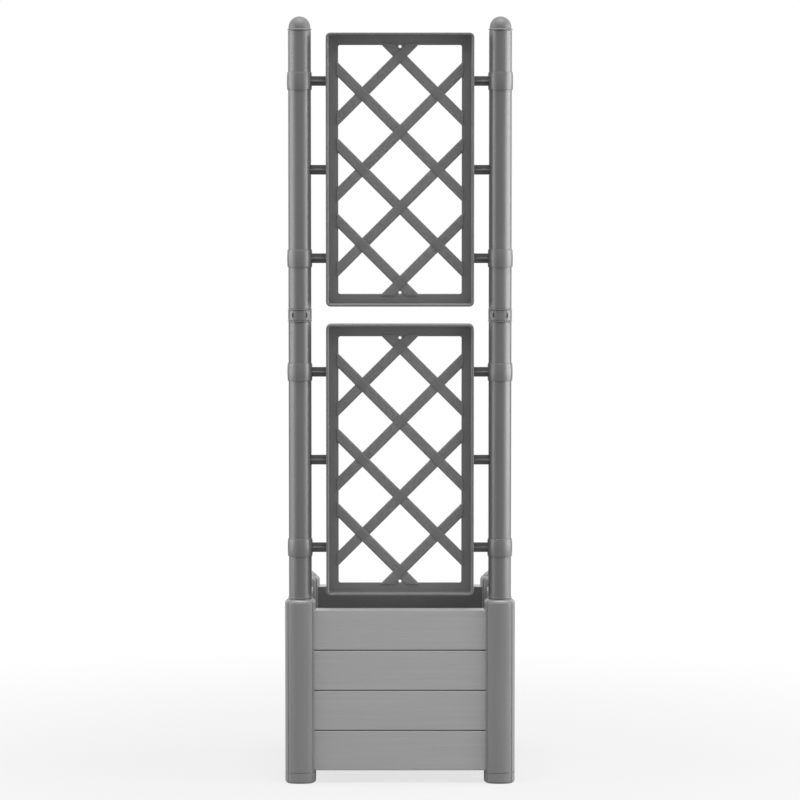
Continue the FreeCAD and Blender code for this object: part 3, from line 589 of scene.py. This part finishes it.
def pole_cap(side):
    """Half a ball on a ring that flares out from it, with a shadow joint between the ring and the
    tube, and a hollow spigot inside the tube."""
    node = "pole_cap_" + side
    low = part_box(node)[0]
    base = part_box("pole_tube_upper_" + side)[1].z
    ring_top = base + JOINT + FLANGE
    centre = base + DOME_SIDE
    hollow_top = base + CAP_HOLLOW
    rise = np.linspace(0, math.acos(NEAR_AXIS / DOME_RADIUS), DOME_POINTS)
    dome = [(DOME_RADIUS * math.cos(a), centre + DOME_RADIUS * math.sin(a), 0.0) for a in rise]
    profile = softened([
        (NEAR_AXIS, hollow_top, 0.0), (SPIGOT_INSIDE, hollow_top, 0.0),
        (SPIGOT_INSIDE, low.z, SPIGOT_INNER_EDGE), (SPIGOT_RADIUS, low.z, SPIGOT_EDGE),
        (SPIGOT_RADIUS, base, 0.0), (NECK_RADIUS, base, 0.0), (NECK_RADIUS, base + JOINT, 0.0),
        (CAP_RING_RADIUS, base + JOINT, CAP_RING_EDGE),
        (CAP_RING_RADIUS, ring_top, CAP_RING_EDGE),
        (DOME_RADIUS, ring_top + FLARE_RISE, FLARE_EDGE)] + dome)
    surface = turned(node, profile, capped=True)
    stand_in("pole_dome_" + side, node, "cap_" + side, surface, CAP_PLASTIC)


for side_name in ("left", "right"):
    connector(side_name)
    pole_base(side_name)
    pole_cap(side_name)
    for storey_name in ("lower", "upper"):
        for level_name in ("low", "high"):
            collar(storey_name, level_name, side_name)


# ---- lattice panels ----

def stations(corner_steps, side_steps):
    """Stations round a rectangle with rounded corners. On a corner the outward direction turns by
    a quarter; along a side it stays, and the station moves from one corner's centre to the
    next. Returns the outward angle and the centre as shares of the half sizes."""
    share = np.concatenate([np.zeros(corner_steps + 1), np.arange(1, side_steps) / side_steps])
    turn = np.concatenate([np.linspace(0, 1, corner_steps + 1), np.ones(side_steps - 1)])
    quarter = np.repeat(np.arange(4), len(share))
    share = np.tile(share, 4)[:, None]
    angle = (quarter + np.tile(turn, 4)) * math.pi / 2
    signs = np.array([(1, 1), (-1, 1), (-1, -1), (1, -1)])
    return angle, signs[quarter] * (1 - share) + signs[(quarter + 1) % 4] * share


def frame_section(depth):
    """Section of the frame as inward distance and height above the middle plane: over the rim's
    rounded edge, down its inner face, through a fillet onto the web, over the opening's edge
    and back the same way behind."""
    web = WEB_THICKNESS / 2
    front = [(0.0, depth / 2, RIM_ROUNDING), (RIM_THICKNESS, depth / 2, RIM_ROUNDING),
             (RIM_THICKNESS, web, WEB_FILLET), (RAIL_WIDTH, web, OPENING_ROUNDING)]
    rear = [(inward, -height, rounding) for inward, height, rounding in front[::-1]]
    return softened(front + rear, steps=6)


def panel_frame(middle, height, depth):
    """The section carried round a rounded rectangle. A point at inward distance d lies on the
    rectangle that is smaller by d all round. Its corner radius falls with d from the panel's
    corner to the rim's inner corner, and from there to the corner of the opening."""
    section = frame_section(depth)
    inward = section[:, 0]
    radius = np.interp(inward, [0.0, RIM_THICKNESS, RAIL_WIDTH],
                       [PANEL_CORNER, PANEL_CORNER - RIM_THICKNESS, OPENING_CORNER])
    angle, share = stations(corner_steps=8, side_steps=24)
    x = share[:, :1] * (PANEL_WIDTH / 2 - inward - radius) + radius * np.cos(angle)[:, None]
    z = share[:, 1:] * (height / 2 - inward - radius) + radius * np.sin(angle)[:, None]
    y = np.broadcast_to(section[:, 1], x.shape)
    points = np.stack([middle.x + x, middle.y + y, middle.z + z], axis=-1)
    along = lengths_along(np.stack([x[:, 0], z[:, 0]], axis=1))
    across = lengths_along(section)
    places = np.stack(np.broadcast_arrays(along[:, None], across[None, :]), axis=-1)
    faces = [grid_faces(len(angle), len(section), close_rows=True, close_columns=True)]
    grain = np.full(x.size, FRAME_GRAIN)
    return Surface(points.reshape(-1, 3), faces, places.reshape(-1, 2), grain).turned_outwards()


def bar_section():
    """Section of a bar as place across and depth: a rectangle with rounded corners, whose front
    and rear rise a little towards the middle like a shallow parabola."""
    angle, share = stations(corner_steps=4, side_steps=6)
    across = share[:, 0] * (BAR_WIDTH / 2 - BAR_ROUNDING) + BAR_ROUNDING * np.cos(angle)
    deep = share[:, 1] * (BAR_THICKNESS / 2 - BAR_ROUNDING) + BAR_ROUNDING * np.sin(angle)
    fall = BAR_CROWN * (2 * across / BAR_WIDTH) ** 2
    return np.stack([across, deep - np.sign(deep) * fall], axis=1)


def dip(distance):
    """Depth of the round hollow in a bar, by the distance along it from the middle of a crossing:
    an arc that is WEAVE_DEPTH deep in its middle and ends WEAVE_REACH away from it."""
    radius = (WEAVE_REACH ** 2 + WEAVE_DEPTH ** 2) / (2 * WEAVE_DEPTH)
    inside = np.clip(np.abs(distance), 0, WEAVE_REACH)
    return np.sqrt(radius ** 2 - inside ** 2) - (radius - WEAVE_DEPTH)


def lattice_bar(middle, step, slope, half_width, half_height, lattice_step):
    """One bar that rises (slope 1) or falls (slope -1) to the right. A point at s along and t
    across lies at (s - t) / sqrt 2 to the right and slope * (s + t) / sqrt 2 up from the
    bar's middle, and the bar ends on the upright or level line that it meets first. The
    front or the rear is hollowed where the bar passes under or over another."""
    section = bar_section()
    across, deep = section[:, 0], section[:, 1]
    root = math.sqrt(2)
    start_z = step * lattice_step
    # The end towards +s stops at the right side, or at the top if it rises and the bottom if not.
    far = np.minimum(root * half_width + across, root * (half_height - slope * start_z) - across)
    near = np.maximum(-root * half_width + across, -root * (half_height + slope * start_z) - across)
    rows = 1 + int(round(float(far.max() - near.min()) / BAR_ROW))
    share = np.linspace(0, 1, rows)[:, None]
    s = near + share * (far - near)
    x = (s - across) / root
    z = start_z + slope * (s + across) / root
    hollow_front = np.zeros(s.shape)
    hollow_rear = np.zeros(s.shape)
    bare = np.zeros(s.shape)
    for cross_x in (-1, 0, 1):
        cross_z = step + slope * cross_x
        if abs(cross_z) <= LATTICE_STEPS:
            distance = s - cross_x * lattice_step * root
            in_front = slope == (-1 if cross_x else 1)
            if in_front:
                hollow_rear += dip(distance)
            else:
                hollow_front += dip(distance)
            gone = np.clip((BARE_REACH - np.abs(distance)) / BARE_FADE, 0, 1)
            bare = np.maximum(bare, gone)
    front = np.clip(-2 * deep / BAR_THICKNESS, 0, 1)
    rear = np.clip(2 * deep / BAR_THICKNESS, 0, 1)
    y = deep + hollow_front * front - hollow_rear * rear
    points = np.stack([middle.x + x, middle.y + y, middle.z + z], axis=-1)
    around = lengths_along(section)
    shifted = s + STEP_SHIFT * step + SLOPE_SHIFT * slope
    places = np.stack(np.broadcast_arrays(shifted, around[None, :]), axis=-1)
    grain = (1 - bare).reshape(-1)
    return Surface(points.reshape(-1, 3), tube_faces(rows, len(section)), places.reshape(-1, 2),
                   grain).turned_outwards()


def gusset(middle, side, half_height, crossing):
    """Filled corner with a hole between the two bars that cross next to the middle of the top or
    bottom rail. Each ray from the hole's centre runs from the circle to the border of a
    rectangle: across the front, over the border, back across the rear and through the hole."""
    centre_z = half_height - GUSSET_HOLE_DROP
    angle = np.linspace(0, 2 * math.pi, GUSSET_RAYS + 1)[:-1]
    cosine, sine = np.cos(angle), np.sin(angle)
    up = half_height + RIM_THICKNESS - centre_z
    down = centre_z - crossing
    sideways = GUSSET_WIDTH / 2 / np.maximum(np.abs(cosine), TINY)
    upright = np.where(sine > 0, up, down) / np.maximum(np.abs(sine), TINY)
    border = np.minimum(sideways, upright)
    hole = np.full(GUSSET_RAYS, GUSSET_HOLE)
    hole_edge = hole + GUSSET_EDGE
    reach = np.stack([hole, hole_edge, border, border, hole_edge, hole], axis=1)
    deep = WEB_THICKNESS / 2 - GUSSET_INSET
    depth = np.array([GUSSET_EDGE - deep, -deep, -deep, deep, deep, deep - GUSSET_EDGE])
    x = reach * cosine[:, None]
    z = side * (centre_z + reach * sine[:, None])
    y = np.broadcast_to(depth, x.shape)
    points = np.stack([middle.x + x, middle.y + y, middle.z + z], axis=-1)
    faces = [grid_faces(GUSSET_RAYS, len(depth), close_rows=True, close_columns=True)]
    return Surface(points.reshape(-1, 3), faces, np.stack([x, z], axis=-1).reshape(-1, 2),
                   np.full(x.size, GUSSET_GRAIN)).turned_outwards()


def peg(middle, side, level, end):
    """Cross-shaped peg from the rim to its end inside the pole: the outline of a plus sign
    carried along x."""
    arm = PEG_SIZE / 2
    rib = PEG_RIB / 2
    corner = np.array([(arm, -rib), (arm, rib), (rib, rib)])
    quarter_turn = np.array([(0, 1), (-1, 0)])
    corners = [corner]
    for _ in range(3):
        corners.append(corners[-1] @ quarter_turn)
    outline = np.concatenate(corners)
    x = np.array([PANEL_WIDTH / 2 - RIM_THICKNESS / 2, end])
    points = np.stack(np.broadcast_arrays(middle.x + side * x[:, None], middle.y + outline[:, 0],
                                          level + outline[:, 1]), axis=-1)
    places = np.stack(np.broadcast_arrays(x[:, None], lengths_along(outline)[None, :]), axis=-1)
    return Surface(points.reshape(-1, 3), tube_faces(len(x), len(outline)), places.reshape(-1, 2),
                   np.full(len(x) * len(outline), PEG_GRAIN)).turned_outwards()


def lattice_panel(storey):
    """Frame, woven bars, filled corners and pegs of one panel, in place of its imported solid."""
    node = "lattice_panel_" + storey
    low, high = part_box(node)
    middle = (low + high) / 2
    height = high.z - low.z
    depth = high.y - low.y
    half_width = PANEL_WIDTH / 2 - RAIL_WIDTH
    half_height = height / 2 - RAIL_WIDTH
    crossing = half_height - END_CROSSING
    lattice_step = crossing / LATTICE_STEPS
    bars = [lattice_bar(middle, step, slope, half_width + BAR_OVERLAP, half_height + BAR_OVERLAP,
                        lattice_step)
            for slope in (1, -1) for step in BAR_STEPS]
    gussets = [gusset(middle, side, half_height, crossing) for side in (-1, 1)]
    peg_spacing = height / 2 - PEG_MARGIN
    pegs = [peg(middle, side, middle.z + step * peg_spacing, high.x - middle.x)
            for side in (-1, 1) for step in (-1, 0, 1)]
    material = MATERIALS["lattice_plastic"]
    shown = [
        piece("lattice_frame_" + storey, panel_frame(middle, height, depth), material),
        piece("lattice_bars_" + storey, gathered(bars), material),
        piece("lattice_gussets_" + storey, gathered(gussets), material),
        piece("lattice_pegs_" + storey, gathered(pegs), material),
    ]
    soften = shown[-1].modifiers.new("soften", "BEVEL")
    soften.width = PEG_EDGE
    soften.segments = 2
    soften.limit_method = "ANGLE"
    for thing in shown:
        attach(thing, "trellis_" + storey)
        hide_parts(node)


lattice_panel("lower")
lattice_panel("upper")


# ---- studio ----

AMBIENT = 0.14          # light of the surroundings on the object
FLOOR_SHARE = 0.36      # floor's own colour
FLOOR_WHITE = 0.75      # how much of the backdrop's white the camera sees in the floor nearby
FADE_START = 0.45       # from here on the floor turns to the white of the backdrop
FADE_END = 1.8
FLOOR_RAYS = 96         # points round the floor
FLOOR_RINGS = (0.01, 0.5, 1.0, 2.0, 4.0, 8.0, 16.0, 40.0)

# Name, place, target, size and watts of each soft light.
SOFTBOXES = (
    ("top", (0, -1.3, 7.0), (0, 0, 0.6), 4.5, 600),
    ("right", (3.7, 0.0, 1.3), (0, 0, 0.8), 3.0, 200),
    ("left", (-3.8, -0.1, 1.3), (0, 0, 0.8), 3.0, 125),
    ("front_right", (3.7, -2.0, 0.6), (0, 0, 0.45), 2.2, 72),
    ("front_left", (-3.7, -2.0, 0.6), (0, 0, 0.45), 2.2, 42),
)


def open_rays(nodes, links, kinds):
    """1 for the camera's rays and those of the given kinds."""
    path = nodes.new("ShaderNodeLightPath")
    seen = path.outputs["Is Camera Ray"]
    for kind in kinds:
        larger = nodes.new("ShaderNodeMath")
        larger.operation = "MAXIMUM"
        links.new(seen, larger.inputs[0])
        links.new(path.outputs[kind], larger.inputs[1])
        seen = larger.outputs[0]
    return seen


def floor_matte():
    """Matte pale floor. Near the object it is plain and takes the shadow, and further out the
    camera sees it turn to pure white."""
    g = Graph("floor_matte")
    g.shader.inputs["Base Color"].default_value = (FLOOR_SHARE, FLOOR_SHARE, FLOOR_SHARE, 1.0)
    g.shader.inputs["Roughness"].default_value = 0.9
    g.shader.inputs["Specular IOR Level"].default_value = 0.0
    length = g.node("ShaderNodeVectorMath", operation="LENGTH")
    g.link(g.place(), length.inputs[0])
    far = g.node("ShaderNodeMapRange", interpolation_type="SMOOTHSTEP")
    fade = (length.outputs["Value"], FADE_START, FADE_END, FLOOR_WHITE, 1.0)
    for socket, source in zip(far.inputs, fade):
        g.feed(socket, source)
    white = g.node("ShaderNodeEmission")
    white.inputs["Color"].default_value = (1.0, 1.0, 1.0, 1.0)
    mixed = g.node("ShaderNodeMixShader")
    seen = open_rays(g.tree.nodes, g.tree.links, ["Is Transmission Ray"])
    g.link(g.math("MULTIPLY", far.outputs[0], seen), mixed.inputs["Fac"])
    g.link(g.shader.outputs[0], mixed.inputs[1])
    g.link(white.outputs[0], mixed.inputs[2])
    g.link(mixed.outputs[0], g.tree.nodes["Material Output"].inputs["Surface"])
    return g.material


def floor():
    """Round floor: rings of points at growing distances from the middle."""
    turn = np.linspace(0, 2 * math.pi, FLOOR_RAYS + 1)[:-1]
    reach = np.array(FLOOR_RINGS)
    points = np.stack([np.outer(reach, np.cos(turn)), np.outer(reach, np.sin(turn)),
                       np.zeros((len(reach), len(turn)))], axis=-1).reshape(-1, 3)
    faces = [grid_faces(len(reach), len(turn), close_columns=True), np.arange(len(turn))[None, :]]
    piece("floor", Surface(points, faces, points[:, :2], np.zeros(len(points))),
                   floor_matte())


def softbox(name, place, target, size, watts):
    """Square soft light at a place, aimed at a target. The camera doesn't see it."""
    light = bpy.data.lights.new(name, "AREA")
    light.shape = "RECTANGLE"
    light.size = size
    light.size_y = size
    light.energy = watts
    lamp = bpy.data.objects.new(name, light)
    lamp.location = place
    lamp.rotation_euler = (Vector(target) - Vector(place)).to_track_quat("-Z", "Y").to_euler()
    lamp.visible_camera = False
    bpy.context.scene.collection.objects.link(lamp)


def surroundings():
    """Even white surroundings: full white to the camera and in reflections, dimmer as light."""
    sky = bpy.data.worlds.new("studio")
    bpy.context.scene.world = sky
    sky.use_nodes = True
    nodes, links = sky.node_tree.nodes, sky.node_tree.links
    background = nodes["Background"]
    background.inputs["Color"].default_value = (1.0, 1.0, 1.0, 1.0)
    strength = nodes.new("ShaderNodeMapRange")
    seen = open_rays(nodes, links, ["Is Glossy Ray", "Is Transmission Ray"])
    links.new(seen, strength.inputs["Value"])
    strength.inputs["To Min"].default_value = AMBIENT
    strength.inputs["To Max"].default_value = 1.0
    links.new(strength.outputs[0], background.inputs["Strength"])


def camera():
    """Long lens from the front, a little above."""
    lens = bpy.data.cameras.new("camera")
    lens.sensor_width = SENSOR_WIDTH
    lens.lens = SENSOR_WIDTH * FOCAL_LENGTH / PICTURE_WIDTH
    lens.clip_end = 100
    eye = bpy.data.objects.new("camera", lens)
    eye.location = CAMERA_PLACE
    eye.rotation_euler = (math.radians(90 - CAMERA_PITCH), 0, 0)
    bpy.context.scene.collection.objects.link(eye)
    bpy.context.scene.camera = eye


surroundings()
floor()
for light_settings in SOFTBOXES:
    softbox(*light_settings)
camera()
bpy.context.scene.view_settings.view_transform = "Standard"
